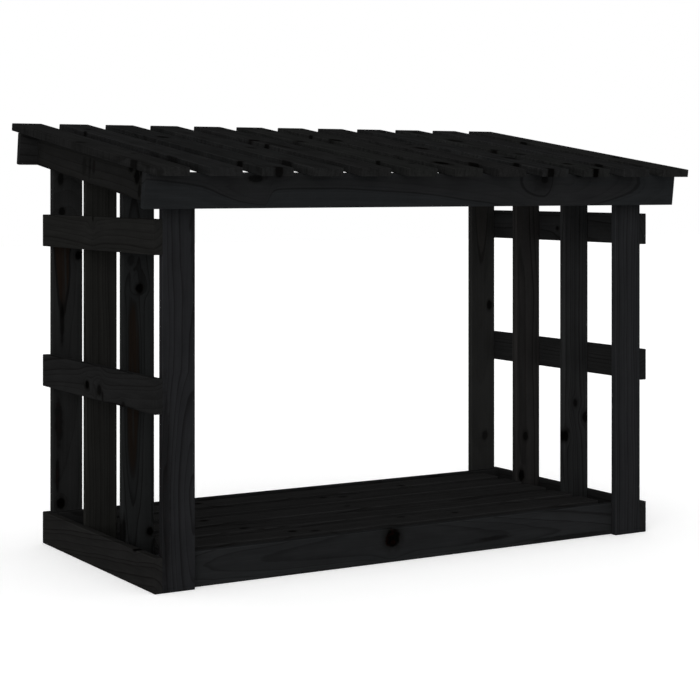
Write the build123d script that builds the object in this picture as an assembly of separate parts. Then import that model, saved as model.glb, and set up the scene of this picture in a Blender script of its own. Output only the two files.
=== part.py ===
from build123d import *
from math import cos, radians, sin
import os

# An open log store, cut from one stock of board. Two side frames of uprights and rails
# carry a sloping roof of spaced boards, and a slatted floor lies between the frames.
# The front looks along -Y, the origin is on the ground under the middle of the roof.

# The stock that every piece is cut from
stock_width = 58.0
stock_thickness = 14.0
eased_edge = 1.5

# The side frames
bay_width = 868.0  # between the left and the right uprights
frame_depth = 494.0  # from the front of the first upright to the back of the last
upright_count = 4
middle_rail_height = 288.0  # from the ground to the lower edge of the middle rail
upper_rail_gap = 21.0  # between the upper rail and the rafter above it, at the front upright
upright_top_gap = 10.0  # between the uprights and the roof boards, square to the slope

# The roof
eave_height = 671.0  # from the ground to the lower front edge of the roof boards
roof_pitch = 7.6  # degrees, rising to the rear
roof_gap_share = 0.5  # least gap between roof boards, of a board's width
eave_overhang = 37.5  # of the roof boards past the front fascia, along the slope
rear_overhang = 34.0  # of the roof boards past the rear beam, along the slope
side_overhang = 34.0  # of the roof's edge past the rafters
roof_frame_clearance = 22.0  # between the uprights and the fascia, and again at the rear beam

# The floor
floor_gap_share = 0.35  # least gap between floor boards, of a board's width
floor_end_clearance = 1.0  # between the end of a floor board and the uprights
floor_bearer_count = 3

# Directions, which on the roof are those of its slope
TO_RIGHT = (1, 0, 0)
TO_REAR = (0, 1, 0)
UP = (0, 0, 1)

# Widths and depths that follow from the sizes above
slope_run = cos(radians(roof_pitch))
slope_rise = sin(radians(roof_pitch))
frame_half_width = bay_width / 2 + stock_width
roof_half_width = frame_half_width + stock_thickness + side_overhang
roof_gap_least = roof_gap_share * stock_width
floor_gap_least = floor_gap_share * stock_width

# Places along the slope, from the lower front edge of the roof boards
fascia_back = eave_overhang + stock_thickness
eave_reach = roof_frame_clearance + fascia_back * slope_run + stock_width * slope_rise
rear_beam_front = (eave_reach + frame_depth + roof_frame_clearance) / slope_run
roof_board_length = rear_beam_front + stock_thickness + rear_overhang
rafter_over_upright = fascia_back + roof_frame_clearance / slope_run

# Places from front to rear, with the roof's middle over the origin
eave_front = -(roof_board_length * slope_run - stock_thickness * slope_rise) / 2
frame_front = eave_front + eave_reach
frame_rear = frame_front + frame_depth
floor_front = frame_front + 2 * stock_thickness
floor_depth = frame_depth - 4 * stock_thickness

# Heights
ridge_height = eave_height + roof_board_length * slope_rise
rafter_underside = eave_height + rafter_over_upright * slope_rise - stock_width * slope_run
upper_rail_height = rafter_underside - upper_rail_gap - stock_width
floor_bearer_height = stock_width - stock_thickness

# The underside of the roof boards: its own X to the right, Y up the slope and Z square to it
roof_plane = Plane((0, eave_front, eave_height), x_dir=TO_RIGHT, z_dir=(0, -slope_rise, slope_run))


def stock(start, run, across, length, width=stock_width):
    """A length of stock with eased edges, from the middle of its near end."""
    near_end = Plane(start, x_dir=across, z_dir=run)
    section = near_end * RectangleRounded(width, stock_thickness, eased_edge)
    return extrude(section, amount=length)


def upright(side, row):
    """An upright with its broad face to the front, cut on the slope just under the roof boards."""
    pitch = (frame_depth - stock_thickness) / (upright_count - 1)
    middle = side * (bay_width + stock_width) / 2
    depth = frame_front + stock_thickness / 2 + row * pitch
    blank = stock((middle, depth, 0), UP, TO_RIGHT, ridge_height)
    return split(blank, bisect_by=roof_plane.offset(-upright_top_gap), keep=Keep.BOTTOM)


def side_rail(side, height):
    """A level rail on edge, along the outer edges of one side's uprights."""
    middle = side * (frame_half_width + stock_thickness / 2)
    return stock((middle, frame_front, height + stock_width / 2), TO_REAR, UP, frame_depth)


def base_board(front):
    """A board on edge that ties the two sides together at the ground."""
    start = (-frame_half_width, front + stock_thickness / 2, stock_width / 2)
    return stock(start, TO_RIGHT, UP, 2 * frame_half_width)


def floor_bearer(row):
    """A bearer on the ground under the floor boards, cut lower by their thickness."""
    reach = (bay_width - stock_thickness) / 2
    middle = -reach + row * 2 * reach / (floor_bearer_count - 1)
    start = (middle, floor_front, floor_bearer_height / 2)
    return stock(start, TO_REAR, UP, floor_depth, floor_bearer_height)


def floor_boards():
    """The floor boards, spread evenly between the two base boards and level with their tops."""
    count = int((floor_depth - floor_gap_least) / (stock_width + floor_gap_least))
    pitch = (floor_depth + stock_width) / (count + 1)
    length = bay_width - 2 * floor_end_clearance
    height = floor_bearer_height + stock_thickness / 2
    for row in range(count):
        middle = floor_front - stock_width / 2 + (row + 1) * pitch
        yield stock((-length / 2, middle, height), TO_RIGHT, TO_REAR, length)


def roof_boards():
    """The roof boards, which run up the slope and are spread evenly over the roof's width."""
    count = int((2 * roof_half_width + roof_gap_least) / (stock_width + roof_gap_least))
    reach = roof_half_width - stock_width / 2
    for row in range(count):
        middle = -reach + row * 2 * reach / (count - 1)
        start = (middle, 0, stock_thickness / 2)
        yield roof_plane * stock(start, TO_REAR, TO_RIGHT, roof_board_length)


def roof_beam(front):
    """A board on edge under the roof boards, from one side of the roof to the other."""
    start = (-roof_half_width, front + stock_thickness / 2, -stock_width / 2)
    return roof_plane * stock(start, TO_RIGHT, UP, 2 * roof_half_width)


def rafter(side):
    """A board on edge between the fascia and the rear beam, on the uprights' outer edges."""
    middle = side * (frame_half_width + stock_thickness / 2)
    start = (middle, fascia_back, -stock_width / 2)
    return roof_plane * stock(start, TO_REAR, UP, rear_beam_front - fascia_back)


# The side frames, with the uprights counted from the front
pieces = {}
for name, side in {"left": -1, "right": 1}.items():
    for row in range(upright_count):
        pieces[f"{name}_upright_{row + 1}"] = upright(side, row)
    pieces[f"{name}_base_rail"] = side_rail(side, 0)
    pieces[f"{name}_middle_rail"] = side_rail(side, middle_rail_height)
    pieces[f"{name}_upper_rail"] = side_rail(side, upper_rail_height)
    pieces[f"{name}_rafter"] = rafter(side)

# The base and the floor
pieces["front_base_board"] = base_board(frame_front + stock_thickness)
pieces["rear_base_board"] = base_board(frame_rear - 2 * stock_thickness)
for row in range(floor_bearer_count):
    pieces[f"floor_bearer_{row + 1}"] = floor_bearer(row)
for row, board in enumerate(floor_boards()):
    pieces[f"floor_board_{row + 1}"] = board

# The roof, with its boards counted from the left
pieces["front_fascia"] = roof_beam(eave_overhang)
pieces["rear_beam"] = roof_beam(rear_beam_front)
for row, board in enumerate(roof_boards()):
    pieces[f"roof_board_{row + 1:02d}"] = board

os.makedirs("parts", exist_ok=True)
for name, piece in pieces.items():
    export_step(piece, f"parts/{name}.step")
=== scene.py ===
# %% [markdown]
# # An open log store in black-stained pine
#
# The store is a kit of straight boards, all planed to one section: two slatted sides, a slatted floor and
# a sloping roof of spaced boards. The CAD model already has every board with its eased edges, so this
# lesson keeps those shapes and gives each one the wood: growth rings, knots, fibres, sawn ends and a thin
# dark stain.

# %% Load the store
import math
import random
from dataclasses import dataclass

import bmesh
import bpy
from mathutils import Matrix, Vector

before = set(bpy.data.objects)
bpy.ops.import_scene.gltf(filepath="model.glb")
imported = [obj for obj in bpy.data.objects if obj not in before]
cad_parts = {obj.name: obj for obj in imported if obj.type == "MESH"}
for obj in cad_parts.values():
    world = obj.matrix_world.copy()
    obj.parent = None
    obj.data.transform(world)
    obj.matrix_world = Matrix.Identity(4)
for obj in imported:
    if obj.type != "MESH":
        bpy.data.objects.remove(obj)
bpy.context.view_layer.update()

MM = 1000.0  # millimetres in a metre: the wood is laid out in millimetres


# %% [markdown]
# ## The camera
#
# The picture is taken from the front left, at the height of the eaves, with the camera held level so that
# the uprights stay upright. The store then sits low in the frame. Tilting the camera would make the
# uprights lean, so the lens is shifted instead, as an architect's camera does it.

# %% Set up the camera
IMAGE_SIDE = 700  # pixels
FOCAL_LENGTH = 1829.1  # pixels
LENS_CENTRE = Vector((391.05, 182.55))  # pixels from the upper left
SENSOR_WIDTH = 36.0  # mm
CAMERA_PLACE = Vector((-1.72115, -2.93583, 0.66074))
CAMERA_TURN = math.radians(-31.638)

camera = bpy.data.cameras.new("camera")
camera.sensor_width = SENSOR_WIDTH
camera.lens = FOCAL_LENGTH / IMAGE_SIDE * SENSOR_WIDTH
camera.shift_x = 0.5 - LENS_CENTRE.x / IMAGE_SIDE
camera.shift_y = LENS_CENTRE.y / IMAGE_SIDE - 0.5
camera_stand = bpy.data.objects.new("camera", camera)
camera_stand.location = CAMERA_PLACE
camera_stand.rotation_euler = (math.radians(90), 0, CAMERA_TURN)
bpy.context.collection.objects.link(camera_stand)
bpy.context.scene.camera = camera_stand
bpy.context.scene.view_settings.view_transform = "Standard"
print(f"lens {camera.lens:.1f} mm, shift {camera.shift_x:.3f}, {camera.shift_y:.3f}")

# %% [markdown]
# ## Each board's own directions
#
# Wood grain follows the length of the board, whichever way the board lies in the store. Each board could
# get a UV map, but then the grain on its edges and ends would not join up with its faces. Wood is solid, so
# a solid pattern suits it: every board gets its own axes, along the length, across the width and through
# the thickness, read from the largest triangle of its mesh, and the pattern is laid out on those.

# %% Measure the boards
def pointing_up_the_axis(direction):
    """The direction or its opposite, whichever has its largest part positive."""
    largest = max(direction, key=abs)
    return direction.normalized() if largest > 0 else -direction.normalized()


class Board:
    """One board: its node, its own axes, the middle of its lower end and its sizes in millimetres."""

    def __init__(self, name, node):
        self.name = name
        self.node = node
        self.dice = random.Random(name)
        mesh = node.data
        largest = max(mesh.polygons, key=lambda face: face.area)
        corners = [mesh.vertices[index].co for index in largest.vertices]
        sides = [corners[index] - corners[index - 1] for index in range(3)]
        sides.sort(key=lambda side: side.length)
        along = pointing_up_the_axis(sides[1])
        across = pointing_up_the_axis(sides[0])
        self.axes = Matrix((along, across, along.cross(across)))
        spans = [self.axes @ vertex.co * MM for vertex in mesh.vertices]
        low = Vector(min(span[axis] for span in spans) for axis in range(3))
        high = Vector(max(span[axis] for span in spans) for axis in range(3))
        self.length, self.width, self.thickness = high - low
        self.start = Vector((low.x, (low.y + high.y) / 2, (low.z + high.z) / 2))


boards = {name: Board(name, node) for name, node in sorted(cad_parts.items())}
for name in ("front_fascia", "left_upright_1", "roof_board_01"):
    board = boards[name]
    print(name, round(board.length), round(board.width), round(board.thickness), "mm")

# %% [markdown]
# ## Shader sums as plain expressions
#
# The wood is worked out in the material with dozens of Math nodes. Placing them one by one hides what they
# add up to. A small class that stands for a node's output socket lets Python's own + - * / place the Math
# nodes, so that the formula for a growth ring reads like one. All other nodes come from a single method of
# the recipe.

# %% Let sums place Math nodes
class Wire:
    """An output socket of a node in a recipe. Sums with wires add Math nodes to the recipe."""

    def __init__(self, recipe, socket):
        self.recipe = recipe
        self.socket = socket

    def maths(self, operation, *others):
        values = dict(enumerate((self, *others)))
        return self.recipe.add("ShaderNodeMath", {"operation": operation}, values)

    def from_number(self, operation, number):
        return self.recipe.add("ShaderNodeMath", {"operation": operation}, {0: number, 1: self})

    def output(self, name):
        """Another output of the same node."""
        return Wire(self.recipe, self.socket.node.outputs[name])

    def __add__(self, other):
        return self.maths("ADD", other)

    def __sub__(self, other):
        return self.maths("SUBTRACT", other)

    def __rsub__(self, number):
        return self.from_number("SUBTRACT", number)

    def __mul__(self, other):
        return self.maths("MULTIPLY", other)

    def __truediv__(self, other):
        return self.maths("DIVIDE", other)

    def __rtruediv__(self, number):
        return self.from_number("DIVIDE", number)

    def __abs__(self):
        return self.maths("ABSOLUTE")

    __radd__ = __add__
    __rmul__ = __mul__


print("wires understand + - * / and abs")

# %% Fill node trees
MIX_SHARE, MIX_FROM, MIX_TO = 0, 6, 7  # the inputs of a Mix node that it uses for colours
MIX_RESULT = 2  # and its output for them


class Recipe:
    """A node tree that is being filled."""

    def __init__(self, tree):
        self.tree = tree
        tree.nodes.clear()

    def add(self, kind, settings=None, inputs=None, output=0):
        """Adds a node with its settings, fills its sockets with values or wires, and returns an output."""
        node = self.tree.nodes.new(kind)
        for name, value in (settings or {}).items():
            setattr(node, name, value)
        for name, value in (inputs or {}).items():
            if isinstance(value, Wire):
                self.tree.links.new(value.socket, node.inputs[name])
            else:
                node.inputs[name].default_value = value
        if len(node.outputs):
            return Wire(self, node.outputs[output])


def rise(value, low, high):
    """0 where the value is below low and 1 where it is above high, with a smooth climb between. With low
    above high, it falls from 1 to 0 instead."""
    span = {"Value": value, "From Min": low, "From Max": high}
    return value.recipe.add("ShaderNodeMapRange", {"interpolation_type": "SMOOTHSTEP"}, span)


def mixed(share, colour, other):
    """A colour turned into another one by a share from 0 to 1."""
    inputs = {MIX_SHARE: share, MIX_FROM: colour, MIX_TO: other}
    return share.recipe.add("ShaderNodeMix", {"data_type": "RGBA"}, inputs, MIX_RESULT)


print("recipes are ready")

# %% [markdown]
# ## A material for each board
#
# No two boards come from the same place in a tree. One material for all, shifted a little from board to
# board, would be less work, but the knots have to be placed board by board, so each board gets a material
# of its own. A Mapping node turns the store's coordinates into the board's: millimetres along it from its
# lower end, across it and through it from its middle. Noise that is stretched along the board gives
# everything in wood that wanders without a pattern.

# %% Start the boards' materials
NOISE_REACH = 90  # how far from its origin a board may start in the noise


def start_material(board):
    material = bpy.data.materials.new("stained_pine_" + board.name)
    material.use_nodes = True
    board.recipe = Recipe(material.node_tree)
    store_point = board.recipe.add("ShaderNodeTexCoord", output="Object")
    to_board = {"Vector": store_point, "Scale": (MM, MM, MM), "Rotation": board.axes.to_euler(),
                "Location": -board.start}
    board.point = board.recipe.add("ShaderNodeMapping", inputs=to_board)
    board.along = board.recipe.add("ShaderNodeSeparateXYZ", inputs={"Vector": board.point})
    board.across = board.along.output("Y")
    board.through = board.along.output("Z")
    board.node.data.materials.clear()
    board.node.data.materials.append(material)


def noise(board, along, across, through, detail=2.0):
    """Smooth noise from about -0.5 to 0.5, with patches of the given sizes in millimetres."""
    scale = (1 / along, 1 / across, 1 / through)
    start = [board.dice.uniform(-NOISE_REACH, NOISE_REACH) for axis in range(3)]
    place = board.recipe.add("ShaderNodeVectorMath", {"operation": "MULTIPLY_ADD"},
                             {0: board.point, 1: scale, 2: start})
    inputs = {"Vector": place, "Scale": 1.0, "Detail": detail}
    return board.recipe.add("ShaderNodeTexNoise", inputs=inputs) - 0.5


for board in boards.values():
    start_material(board)
print(len(boards), "materials started")

# %% [markdown]
# ## Knots
#
# A knot is a branch that the trunk grew round. It runs through the board, so it shows on both faces at the
# same place, and the grain parts before it and closes behind it like water round a stone. A dark spot on
# straight grain would look stuck on. So each knot pushes the grain's place sideways, by the formula for a
# stream round a post. The boards that face the camera have their knots where the real ones are, and the
# others have a few at random.

# %% Describe a knot
@dataclass
class Knot:
    """A knot, with its lengths in millimetres."""

    along: float  # from the board's lower end
    across: float  # from its middle line
    radius: float  # half its height
    stretch: float = 1.3  # its length for its height
    darkness: float = 1.0
    swing: float = 1.6  # how many times its size the grain swings round it
    lean: float = 1.0  # over 1, the grain swings out slowly before it and back fast behind it
    red: float = 0.1  # how red its heart is
    outline: float = 0.0  # how dark a line the grain closes round it


print("a plain knot:", Knot(along=100, across=0, radius=5))

# %% List the knots of the frame
FRAME_KNOTS = {  # an empty list is for a board that shows none
    "front_fascia": [
        Knot(193, 20, 6, 2.4, 0.6, 1.5, red=0), Knot(238, 28, 5, 1.5, 0.7, red=0),
        Knot(214, 27, 6, 0.618, 0.2, 6.6, 3.36, red=0),
        Knot(778, 19, 7, 1.0, 0.5, 4.3, 1.7, red=0, outline=0.8),
        Knot(772, 14, 17, 1.3, 0.18, 0.3, red=0), Knot(854, 28, 5, 1.4, 0.6, red=0),
        Knot(893, 28, 5, 1.4, 0.6)],
    "front_base_board": [
        Knot(443, 13, 17, 0.95, 1.0, 1.4, red=0.8), Knot(660, -9, 3.5, 10.0, 0.35, 0.5),
        Knot(833, -23, 3.5, 27.0, 0.35, 0.4, red=0.3)],
    "left_upper_rail": [Knot(256, 25, 5, 0.7, 0.6, 3.5, 0.8)],
    "left_middle_rail": [
        Knot(281, -7, 7, 1.2, red=0), Knot(228, -11, 10, 0.9, 0.65, 2.0, 0.6, red=0, outline=0.4),
        Knot(213, -21, 9, 0.4, 0.5, 0.5, red=0), Knot(126, -26, 5, 1.5, 0.5, red=0.8),
        Knot(135, -29, 3, 25.0, 0.5, 0.4, red=0)],
    "left_base_rail": [Knot(80, 32, 5, 1.6, red=0)],
    "left_rafter": [
        Knot(123, 22, 9, 1.0, 0.7, 0.6, red=0), Knot(97, 9, 13, 0.8, 0.8, 0.6),
        Knot(82, 20, 10, 0.5, 0.6, 0.6, red=0), Knot(84, -13, 12, 0.5, 0.5, 0.5, red=0),
        Knot(323, -4, 17, 0.5, 0.25, 0.4, red=0), Knot(298, -2, 20, 0.25, 0.3, 0.4, red=0),
        Knot(280, 2, 13, 0.45, 0.35, 0.5, red=1.0)],
    "left_upright_1": [Knot(170, -24, 9, 20.0, 0.3, 0.4, red=0.6)],
    "left_upright_2": [
        Knot(482, 1, 7, 1.2, 1.0, 2.0, 0.6, outline=0.25), Knot(69, 21, 6),
        Knot(530, -14, 6, 1.6, 0.35, 1.8, outline=0.25), Knot(73, -27, 4, 6.0, 0.7, 0.5)],
    "left_upright_3": [],
    "left_upright_4": [
        Knot(73, -14, 8, outline=0.5), Knot(125, -20, 4, 8.0, 0.6, 0.5, red=1.0),
        Knot(222, -17, 8, 5.5, 0.5, 0.5, red=0.8, outline=0.3), Knot(526, 21, 6, red=0),
        Knot(607, -11, 6, 1.3, 0.7), Knot(667, -14, 6, 2.0, 0.6, red=0),
        Knot(405, -11, 4, 9.0, 0.6, 0.3)],
    "right_upright_1": [],
    "right_upper_rail": [Knot(260, -4, 4, 1.2, 0.7, red=0)],
    "right_middle_rail": [],
}
print(sum(len(knots) for knots in FRAME_KNOTS.values()), "knots placed on the frame")

# %% List the knots of the roof
SIDE = -31  # mm: a knot whose middle is just past a board's left edge shows on that side
ROOF_KNOTS = {
    "roof_board_01": [
        Knot(340, -18, 9, 1.3, 0.4, 0.6), Knot(180, 10, 5, darkness=0.25), Knot(85, SIDE, 6, 2.5, 0.6)],
    "roof_board_02": [
        Knot(560, -8, 6, darkness=0.6), Knot(330, 16, 7, darkness=0.3),
        Knot(521, SIDE, 5, darkness=0.6), Knot(145, SIDE, 4, 6.0, 0.4, 0.5)],
    "roof_board_03": [
        Knot(444, -2, 11, darkness=0.7), Knot(80, SIDE, 7, darkness=0.8), Knot(2, 2, 7, darkness=0.7)],
    "roof_board_04": [
        Knot(286, 3, 7, darkness=0.4), Knot(520, -12, 6, darkness=0.4), Knot(90, SIDE, 4, 5.0, 0.6)],
    "roof_board_05": [
        Knot(408, -20, 10, darkness=0.8), Knot(330, -10, 8, 7.0, 0.4, 0.8),
        Knot(341, SIDE, 7, darkness=0.75)],
    "roof_board_06": [
        Knot(400, -20, 9, darkness=0.5), Knot(585, 12, 6), Knot(70, 20, 5, darkness=0.5),
        Knot(101, SIDE, 5, 1.6, 0.7)],
    "roof_board_07": [
        Knot(430, -19, 11, 1.8, 0.7), Knot(77, -7, 13, 1.5), Knot(512, SIDE, 6, darkness=0.7)],
    "roof_board_08": [
        Knot(306, 5, 11, 1.8, 0.7), Knot(372, 18, 6, darkness=0.5), Knot(560, -6, 6, darkness=0.6),
        Knot(77, SIDE, 4, 5.0, 0.8)],
    "roof_board_09": [
        Knot(160, 14, 10, 2.2, 0.6), Knot(600, 4, 6, darkness=0.7), Knot(79, SIDE, 6, 1.8, 0.8),
        Knot(2, -10, 7, darkness=0.8)],
    "roof_board_10": [
        Knot(451, -9, 12, 2.2, 0.6), Knot(293, -23, 8, darkness=0.6), Knot(77, -9, 8, darkness=0.8),
        Knot(228, -9, 9, darkness=0.6), Knot(598, -8, 9, darkness=0.8), Knot(283, SIDE, 5, 2.0, 0.7),
        Knot(2, -2, 6)],
    "roof_board_11": [Knot(600, -6, 6, darkness=0.6), Knot(77, SIDE, 3, 6.0, 0.8)],
    "roof_board_12": [Knot(185, 6, 8, 1.6), Knot(470, -5, 6, 2.0, 0.6), Knot(446, SIDE, 3, 6.0, 0.8)],
}
print(sum(len(knots) for knots in ROOF_KNOTS.values()), "knots placed on the roof")

# %% Part the grain round the knots
KNOT_SPACING = 260.0  # mm of board for each random knot
KNOT_MARGIN = 30  # mm between a random knot and the ends of its board
OUTLINE_FADE = (0.2, 0.04)  # how far the push is from 1 where an outline starts, and where it is darkest


def random_knots(board):
    dice = board.dice
    count = round(board.length / KNOT_SPACING * dice.uniform(0.4, 1.4))
    for index in range(count):
        along = dice.uniform(KNOT_MARGIN, board.length - KNOT_MARGIN)
        across = dice.uniform(-0.45, 0.45) * board.width
        yield Knot(along, across, radius=dice.uniform(3, 8), stretch=dice.uniform(1.1, 1.8),
                   darkness=dice.uniform(0.5, 1.0))


def part_the_grain(board):
    """Pushes the grain aside round the knots, and keeps how far every point is from each, in its radius."""
    bent = board.across
    board.knot_gaps = []
    board.outlines = []
    for knot in board.knots:
        ahead = board.along - knot.along
        aside = board.across - knot.across
        leaning = ahead.maths("MINIMUM", 0.0) / knot.lean + ahead.maths("MAXIMUM", 0.0) * knot.lean
        swing_gap = leaning * leaning / knot.stretch ** 2 + aside * aside
        push = (knot.swing * knot.radius) ** 2 / swing_gap
        bent = bent - aside * push.maths("MINIMUM", 1.0)
        if knot.outline:
            board.outlines.append(rise(abs(push - 1.0), *OUTLINE_FADE) * knot.outline)
        square_gap = ahead * ahead / knot.stretch ** 2 + aside * aside
        board.knot_gaps.append(square_gap.maths("SQRT") / knot.radius)
    return bent


seen_knots = FRAME_KNOTS | ROOF_KNOTS
for name, board in boards.items():
    board.knots = seen_knots[name] if name in seen_knots else list(random_knots(board))
    board.bent_across = part_the_grain(board)
print(sum(len(board.knots) for board in boards.values()), "knots")

# %% [markdown]
# ## Growth rings
#
# A trunk's growth rings are nested tubes round its pith, and a board is a flat slice through them. Where
# the slice runs close above the pith, it cuts the tubes in tall arches, and where it lies to one side, in
# straight lines. A Wave texture could draw such lines on one face, but they would not join up with those on
# the edges and ends. So the rings are made as they grow: the distance from a pith line that lies outside
# the board and slowly wanders gives the ring, and the faces, edges and ends all cut the same rings.

# %% Describe a pith
GREY_HEART = (1.0, 0.95, 0.93)  # what heartwood leaves of the stain's colour
RED_HEART = (0.75, 0.52, 0.40)


@dataclass
class Pith:
    """The pith of a board's tree. Its lengths are in millimetres, and its slopes for each millimetre."""

    across: float  # from the board's middle line
    depth: float  # below the middle of the board's thickness
    crown: float = 0.5  # the share of the board's length where it comes nearest
    sink_before: float = 0.02  # how steeply it sinks away before the crown
    sink_after: float = 0.02  # and after it
    ring: float = 7.0  # how thick its rings are
    slant: float = 0.0  # how steeply it runs off to the side
    bow: float = 0.0  # how steeply it bends to the side, away from the crown both ways
    sinks: tuple = (-2000.0, 2000.0)  # from the crown, the stretch in which it sinks
    ring_line: float = 1.0  # how dark its ring lines are
    heart: float = 0.0  # how far the heartwood reaches from it
    heart_tint: tuple = GREY_HEART
    heart_line: float = 0.7  # how dark a line the heartwood ends in


print("a plain pith:", Pith(across=60, depth=20))

# %% Choose the piths
SEEN_PITHS = {
    "front_fascia": Pith(18.5, 8.6, 0.773, 0.046, 0.22, 9.0, slant=-0.025, bow=-0.025,
                         sinks=(-320, 2000), ring_line=0.25, heart=50),
    "front_base_board": Pith(12, 16, 0.45, 0.045, 0.04, 9.0, slant=-0.02, bow=0.05, ring_line=0.8),
    "left_upper_rail": Pith(70, 40, 0.5, 0.02, 0.02, 9.0, slant=0.01, ring_line=0.75),
    "left_middle_rail": Pith(75, 30, 0.4, 0.02, 0.02, 11.0, slant=-0.08),
    "left_base_rail": Pith(-85, 40, 0.5, 0.03, 0.03, 11.0, slant=-0.12),
    "left_rafter": Pith(70, 20, 0.4, 0.01, 0.01, 12.0),
    "left_upright_1": Pith(27, 9.9, 0.235, 0.1, 0.17, 8.5, sinks=(-2000, 195), ring_line=0.85),
    "left_upright_2": Pith(-9, 10, 0.42, 0.075, 0.06, 12.0, heart=12, heart_tint=RED_HEART,
                           heart_line=0.45),
    "left_upright_3": Pith(85, 20, 0.5, 0.01, 0.01, 7.0),
    "left_upright_4": Pith(-10, 14, 0.78, 0.085, 0.55, 14.0, slant=0.01, ring_line=0.4, heart=19,
                           heart_tint=RED_HEART, heart_line=1.0),
    "right_upright_1": Pith(76, 25, 0.5, 0.01, 0.01, 8.0),
    "right_upright_4": Pith(-4, 10.2, 0.92, 0.09, 0.02, 11.0, ring_line=0.2, heart=20),
}
ROOF_RING_LINE = 0.5


def random_pith(board):
    """The roof's boards come from beside the pith, so that the rings stand upright on their ends."""
    dice = board.dice
    beside = board.name.startswith("roof_board")
    across = dice.choice((-1, 1)) * (dice.uniform(60, 120) if beside else dice.uniform(5, 75))
    depth = dice.uniform(2, 18) if beside else dice.uniform(16, 50)
    return Pith(across, depth, crown=dice.uniform(0.1, 0.9), sink_before=dice.uniform(0.01, 0.05),
                sink_after=dice.uniform(0.01, 0.05), ring=dice.uniform(6, 9),
                slant=dice.uniform(-0.03, 0.03), heart=dice.uniform(0, 60),
                ring_line=ROOF_RING_LINE if beside else 1.0)


for name, board in boards.items():
    board.pith = SEEN_PITHS.get(name) or random_pith(board)
print(len(SEEN_PITHS), "piths placed, the others at random")

# %% Grow the rings
SIDE_WANDER = 16  # mm by which a pith wanders to the side
DEPTH_WANDER = 10  # mm by which it wanders up and down
RING_RIPPLE = 1.6  # mm
HEART_FADE = 1.5  # mm on each side of the heartwood's edge
HEART_LINE = (1.5, 0.4)  # mm from that edge where its line starts, and where it is darkest
CLIMATE_SCALE = 0.07  # swings between good and bad years, for each millimetre of growth
CLIMATE_SHIFT = 1.6  # years by which they shift the rings
SEED_RANGE = 900
SLOW_SHARE = 0.2  # of a ring line's darkness, that comes on slowly
SLOW_RISE = (0.1, 0.8)  # the shares of a year in which it does
FAST_RISE = (0.72, 0.93)  # the same for the rest
WINTER = (1.0, 0.95)  # the end of the year, where a line stops
FAINTEST_LINE = 0.5


def grow_rings(board):
    """Works out how much of every point is latewood, a ring's dark line, and how much is heartwood."""
    pith = board.pith
    from_crown = board.along - pith.crown * board.length
    first, last = pith.sinks
    sinking = from_crown.maths("MAXIMUM", first).maths("MINIMUM", last)
    after = sinking.maths("MAXIMUM", 0.0) * pith.sink_after
    before = sinking.maths("MINIMUM", 0.0) * pith.sink_before
    runs_off = from_crown * pith.slant - abs(from_crown) * pith.bow + pith.across
    sideways = board.bent_across - runs_off + noise(board, 260, 90, 90, 1.0) * SIDE_WANDER
    downwards = board.through + pith.depth + (after - before)
    downwards = downwards + noise(board, 180, 70, 70, 1.0) * DEPTH_WANDER
    radius = (sideways * sideways + downwards * downwards).maths("SQRT")
    radius = radius + noise(board, 45, 7, 7) * RING_RIPPLE
    board.heartwood = rise(radius, pith.heart + HEART_FADE, pith.heart - HEART_FADE)
    heart_edge = rise(abs(radius - pith.heart), *HEART_LINE) * pith.heart_line
    growth = radius + board.dice.uniform(0, SEED_RANGE)
    climate = board.recipe.add("ShaderNodeTexNoise", {"noise_dimensions": "1D"},
                               {"W": growth, "Scale": CLIMATE_SCALE, "Detail": 1.0})
    board.ring_tone = climate - 0.5
    age = radius / pith.ring + climate * CLIMATE_SHIFT
    year = age.maths("FRACT")
    year_number = age.maths("FLOOR") + board.dice.uniform(0, SEED_RANGE)
    summer = board.recipe.add("ShaderNodeTexWhiteNoise", {"noise_dimensions": "1D"}, {"W": year_number})
    line = SLOW_SHARE * rise(year, *SLOW_RISE) + (1 - SLOW_SHARE) * rise(year, *FAST_RISE)
    strength = FAINTEST_LINE + (1 - FAINTEST_LINE) * summer
    board.latewood = line * rise(year, *WINTER) * strength * pith.ring_line
    for outline in [heart_edge, *board.outlines]:
        board.latewood = board.latewood.maths("MAXIMUM", outline)


for board in boards.values():
    grow_rings(board)
print("rings grown in", len(boards), "boards")

# %% [markdown]
# ## Stain and fibres
#
# The stain is thin and nearly black. It lies a little unevenly, more so on the roughly sawn roof boards,
# and no two boards came out quite alike. Some boards are also made lighter, darker or warmer as painted
# light, for the light that falls on them. Ring lines and fibres show through the stain as slightly darker
# and lighter streaks, and the eased edges are a shade lighter, partly worn and partly a painted highlight.
# Each of these could be a colour to mix in, but all that most of them change is how light the stain is. So
# they are gathered in one number, and only the ring lines and the heartwood get colours.

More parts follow.
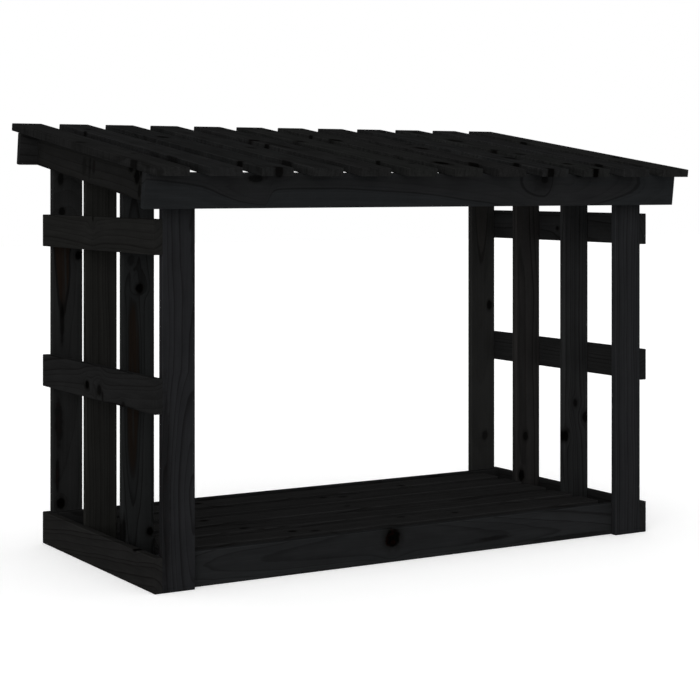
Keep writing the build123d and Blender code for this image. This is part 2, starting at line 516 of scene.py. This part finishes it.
# %% Choose the stains, with some painted light
STAIN = Vector((0.0120, 0.0120, 0.0120))
FLOOR_STAIN = (1.25, 1.0, 1.0)
SEEN_STAINS_AND_PAINTED_LIGHT = {  # how light a board is, and how red and how blue beside its green: its own stain, plus painted light on some, such as the right side's inner uprights, made lighter for light that falls on them
    "front_fascia": (1.18, 0.93, 1.06),
    "front_base_board": (1.25, 0.955, 1.04),
    "left_upper_rail": (0.98, 1.0, 0.95),
    "left_middle_rail": (0.98, 0.99, 1.0),
    "left_base_rail": (1.04, 1.01, 0.97),
    "left_rafter": (0.9, 1.0, 0.97),
    "left_upright_1": (1.22, 0.97, 1.08),
    "left_upright_2": (1.04, 0.94, 1.01),
    "left_upright_3": (1.06, 1.0, 0.93),
    "left_upright_4": (1.15, 0.98, 1.0),
    "right_upright_1": (1.21, 0.965, 1.07),
    "right_upright_2": (1.25, 0.97, 1.02),
    "right_upright_3": (1.25, 1.0, 1.0),
    "right_upright_4": (1.25, 1.0, 0.97),
    "rear_beam": (1.12, 1.0, 1.0),
    "roof_board_08": (0.93, 1.0, 1.0),
}
SEEN_STAINS_AND_PAINTED_LIGHT.update((name, FLOOR_STAIN) for name in boards if name.startswith("floor_board"))


def random_stain(board):
    dice = board.dice
    return dice.uniform(0.94, 1.06), dice.uniform(0.97, 1.01), dice.uniform(0.97, 1.02)


# Each board's stain also carries the painted light that some boards are given above.
for name, board in boards.items():
    lightness, red, blue = SEEN_STAINS_AND_PAINTED_LIGHT.get(name) or random_stain(board)
    board.stain = STAIN * lightness * Vector((red, 1, blue))
print(len(SEEN_STAINS_AND_PAINTED_LIGHT), "stains chosen, the others at random")

# %% Mix the stain
RING_LINE = Vector((0.44, 0.42, 0.41))  # what a ring line leaves of the stain's colour
FIBRE_TONE = 0.35  # how much the fibres change the stain's lightness
STREAK_TONE = 0.35
MOTTLE_TONE = 0.35
RING_TONE = 0.3
ROOF_UNEVENNESS = 2.0  # of the streaks and mottles, where other boards have 1
# how much lighter the eased edges are made: part wear, part painted highlight
EDGE_WEAR_AND_HIGHLIGHT = 0.2
EDGE_FADE = (1.6, 0.4)  # mm from the rim where an eased edge starts, and where it is lightest
SAW_TONE = 1.2
SIDE_FADE = (0.6, 0.1)  # mm from the rim where a roof board's sawn side starts
HEART_STREAKS = (-0.3, 0.05)  # streaks between which the heartwood's tint comes in


def opaque(colour):
    return (*colour, 1)


def at_rim(place, size, fade):
    """1 at the rims of a board's width or thickness and 0 between them."""
    start, end = fade
    return rise(abs(place), size / 2 - start, size / 2 - end)


def mix_stain(board):
    roughly_sawn = board.name.startswith("roof_board")
    unevenness = ROOF_UNEVENNESS if roughly_sawn else 1.0
    board.fibre = noise(board, 60, 1.1, 1.1, 3.0)
    streak = noise(board, 170, 5, 5)
    board.mottle = noise(board, 55, 26, 26)
    patches = STREAK_TONE * streak + MOTTLE_TONE * board.mottle
    tone = 1.0 + FIBRE_TONE * board.fibre + unevenness * patches + RING_TONE * board.ring_tone
    at_side = at_rim(board.across, board.width, EDGE_FADE)
    at_face = at_rim(board.through, board.thickness, EDGE_FADE)
    # Lighter eased edges: part wear, part painted highlight.
    tone = tone * (1 + EDGE_WEAR_AND_HIGHLIGHT * (at_side * at_face))
    if roughly_sawn:
        on_side = at_rim(board.across, board.width, SIDE_FADE)
        tone = tone * (1 + SAW_TONE * on_side * noise(board, 5, 60, 60))
    heart_stain = board.stain * Vector(board.pith.heart_tint)
    heart_share = board.heartwood * rise(streak, *HEART_STREAKS)
    wood = mixed(heart_share, opaque(board.stain), opaque(heart_stain))
    lines = mixed(board.latewood, wood, opaque(board.stain * RING_LINE))
    scaled = {0: lines, "Scale": tone}
    board.colour = board.recipe.add("ShaderNodeVectorMath", {"operation": "SCALE"}, scaled)


for board in boards.values():
    mix_stain(board)
print("stain mixed for", len(boards), "boards")

# %% [markdown]
# ## The knots' colour
#
# A knot shows the end grain of its branch, which drinks the most stain, so it is the blackest spot of a
# board. Round it a rim fades into the board, and in a few the wood's own red is left in patches. A clean
# ellipse would look printed, so noise makes its rim uneven.

# %% Darken the knots
KNOT_BLACK = (0.0009, 0.0009, 0.0008)
KNOT_RED = (0.0045, 0.0013, 0.0010)
KNOT_RIM = (0.0038, 0.0036, 0.0033)
COARSE_WOBBLE = 0.7  # of a knot's radius
FINE_WOBBLE = 0.35
RED_PATCHES = (-0.05, 0.16)  # noise between which a patch turns red
HALO_FADE = (1.8, 0.8)  # radii where the rim starts, and where it is darkest
HALO_DARKNESS = 0.7
CORE_FADE = (1.1, 0.75)  # the same for the core


def darken_knots(board):
    wobble = noise(board, 14, 14, 14) * COARSE_WOBBLE + noise(board, 4, 4, 4) * FINE_WOBBLE
    patch = rise(noise(board, 9, 9, 9), *RED_PATCHES)
    for knot, gap in zip(board.knots, board.knot_gaps):
        rough_gap = gap + wobble
        halo = rise(rough_gap, *HALO_FADE) * (HALO_DARKNESS * knot.darkness)
        core = rise(rough_gap, *CORE_FADE) * knot.darkness
        heart = mixed(patch * knot.red, opaque(KNOT_BLACK), opaque(KNOT_RED))
        board.colour = mixed(halo, board.colour, opaque(KNOT_RIM))
        board.colour = mixed(core, board.colour, heart)


knotty_boards = [board for board in boards.values() if board.knots]
for board in knotty_boards:
    darken_knots(board)
print("knots darkened in", len(knotty_boards), "boards")

# %% [markdown]
# ## The surface
#
# The stain leaves the wood matt, without a shine. The hard ring lines stand a hair proud of the soft wood
# between them and fibres lift a little. That relief is far finer than a mesh needs to carry, so a Bump node
# tilts the shading instead. The ends are rougher and show the strokes of the saw.

# %% Finish the surface
SHINE = 0.0  # of the reflection that lacquer would have
END_DEPTH = 0.5  # mm from the end of a board that count as its sawn end
ROUGHNESS = 0.68  # of a plain board
MOTTLE_ROUGHNESS = 0.16
RING_SMOOTHNESS = 0.08
END_ROUGHNESS = 0.18
SAW_WAVE = 2.2  # radians of the saw's strokes for each millimetre
SAW_WANDER = 5  # radians
RELIEF = 0.00012  # m
RELIEF_STRENGTH = 0.6
RING_HEIGHT = 0.6  # of the relief
FIBRE_HEIGHT = 0.9
SAW_HEIGHT = 0.4


def finish_surface(board):
    recipe = board.recipe
    from_end = board.along.maths("MINIMUM", board.length - board.along)
    end = rise(from_end, END_DEPTH, END_DEPTH / 2)
    roughness = ROUGHNESS + MOTTLE_ROUGHNESS * board.mottle - RING_SMOOTHNESS * board.latewood
    roughness = roughness + END_ROUGHNESS * end
    saw = (board.through * SAW_WAVE + noise(board, 50, 40, 4) * SAW_WANDER).maths("SINE") * end
    height = RING_HEIGHT * board.latewood + FIBRE_HEIGHT * board.fibre + SAW_HEIGHT * saw
    relief = {"Height": height, "Strength": RELIEF_STRENGTH, "Distance": RELIEF}
    bump = recipe.add("ShaderNodeBump", inputs=relief)
    shader = recipe.add("ShaderNodeBsdfPrincipled", inputs={
        "Base Color": board.colour, "Roughness": roughness, "Specular IOR Level": SHINE, "Normal": bump})
    recipe.add("ShaderNodeOutputMaterial", inputs={"Surface": shader})


for board in boards.values():
    finish_surface(board)
most = max(boards.values(), key=lambda board: len(board.recipe.tree.nodes))
print("most nodes:", len(most.recipe.tree.nodes), "in", most.name)

# %% [markdown]
# ## The floor
#
# A white floor carries the store's soft shadow. Lit to a plain level, white paper comes out a little grey,
# and the floor's far edge would show. So the floor adds a little white of its own to what the camera sees
# and to nothing else: no light is added to the store.

# %% Lay the floor
FLOOR_SIZE = 30.0  # m
FLOOR_DROP = 0.0003  # m below the feet
FLOOR_WHITE = 0.86
FLOOR_LIFT = 0.36  # white that only the camera sees


def seen_ray(recipe):
    """1 for a ray from the camera, also by way of a mirror or through glass, and 0 for light that falls."""
    ray = recipe.add("ShaderNodeLightPath", output="Is Camera Ray")
    mirrored = ray.maths("MAXIMUM", ray.output("Is Glossy Ray"))
    return mirrored.maths("MAXIMUM", ray.output("Is Transmission Ray"))


def add_floor():
    shape = bmesh.new()
    bmesh.ops.create_grid(shape, x_segments=1, y_segments=1, size=FLOOR_SIZE / 2)
    bmesh.ops.translate(shape, verts=shape.verts, vec=(0, 0, -FLOOR_DROP))
    mesh = bpy.data.meshes.new("floor")
    shape.to_mesh(mesh)
    shape.free()
    floor = bpy.data.objects.new("floor", mesh)
    bpy.context.collection.objects.link(floor)
    return floor


floor = add_floor()
floor_paint = bpy.data.materials.new("floor")
floor_paint.use_nodes = True
floor_recipe = Recipe(floor_paint.node_tree)
white = opaque((FLOOR_WHITE, FLOOR_WHITE, FLOOR_WHITE))
paint = floor_recipe.add("ShaderNodeBsdfDiffuse", inputs={"Color": white})
lift = floor_recipe.add("ShaderNodeEmission", inputs={"Strength": seen_ray(floor_recipe) * FLOOR_LIFT})
both = floor_recipe.add("ShaderNodeAddShader", inputs={0: paint, 1: lift})
floor_recipe.add("ShaderNodeOutputMaterial", inputs={"Surface": both})
floor.data.materials.append(floor_paint)
print("floor", floor.dimensions.x, "m wide")

# %% [markdown]
# ## Light
#
# The light is that of a white studio: a bright room all round, a wide soft lamp at the front left that
# reaches the front and the side alike, and a wider one above the roof. One strong lamp could light all of
# it, but would throw hard shadows. The inner faces of the right side get little of this, so a small soft
# lamp in the bay is aimed at them. The room is white to the camera and dimmer as a light.

# %% Hang the lamps
WIDE_LAMPS = {  # strength, how wide in degrees it looks from the store, and the way its light travels
    "front_lamp": (1.75, 50, Vector((0.70, 0.70, -0.14))),
    "roof_lamp": (0.66, 80, Vector((0.1, 0.2, -1.0))),
}
BAY_LAMP_POWER = 8.0  # W
BAY_LAMP_SPREAD = 70.0  # degrees
BAY_LAMP_BLEND = 1.0  # share of the spread over which the light fades out
BAY_LAMP_SIZE = 0.1  # m
BAY_LAMP_PLACE = Vector((-0.3, -0.1, 0.15))
BAY_LAMP_TARGET = Vector((0.47, 0.12, 0.5))


def hang_lamp(lamp, direction, place=(0, 0, 0)):
    stand = bpy.data.objects.new(lamp.name, lamp)
    stand.location = place
    stand.rotation_euler = direction.to_track_quat("-Z", "Y").to_euler()
    bpy.context.collection.objects.link(stand)
    return stand


for name, (strength, spread, direction) in WIDE_LAMPS.items():
    lamp = bpy.data.lights.new(name, "SUN")
    lamp.energy = strength
    lamp.angle = math.radians(spread)
    hang_lamp(lamp, direction)
bay_lamp = bpy.data.lights.new("bay_lamp", "SPOT")
bay_lamp.energy = BAY_LAMP_POWER
bay_lamp.spot_size = math.radians(BAY_LAMP_SPREAD)
bay_lamp.spot_blend = BAY_LAMP_BLEND
bay_lamp.shadow_soft_size = BAY_LAMP_SIZE
bay_lamp_stand = hang_lamp(bay_lamp, BAY_LAMP_TARGET - BAY_LAMP_PLACE, BAY_LAMP_PLACE)
bay_lamp_stand.visible_camera = False
print("lamps", [lamp.name for lamp in bpy.data.lights])

# %% Light the room
ROOM_LIGHT = 0.58

world = bpy.data.worlds.new("studio")
world.use_nodes = True
bpy.context.scene.world = world
room_recipe = Recipe(world.node_tree)
brightness = seen_ray(room_recipe) * (1 - ROOM_LIGHT) + ROOM_LIGHT
room = room_recipe.add("ShaderNodeBackground", inputs={"Color": (1, 1, 1, 1), "Strength": brightness})
room_recipe.add("ShaderNodeOutputWorld", inputs={"Surface": room})
print("room light", ROOM_LIGHT)
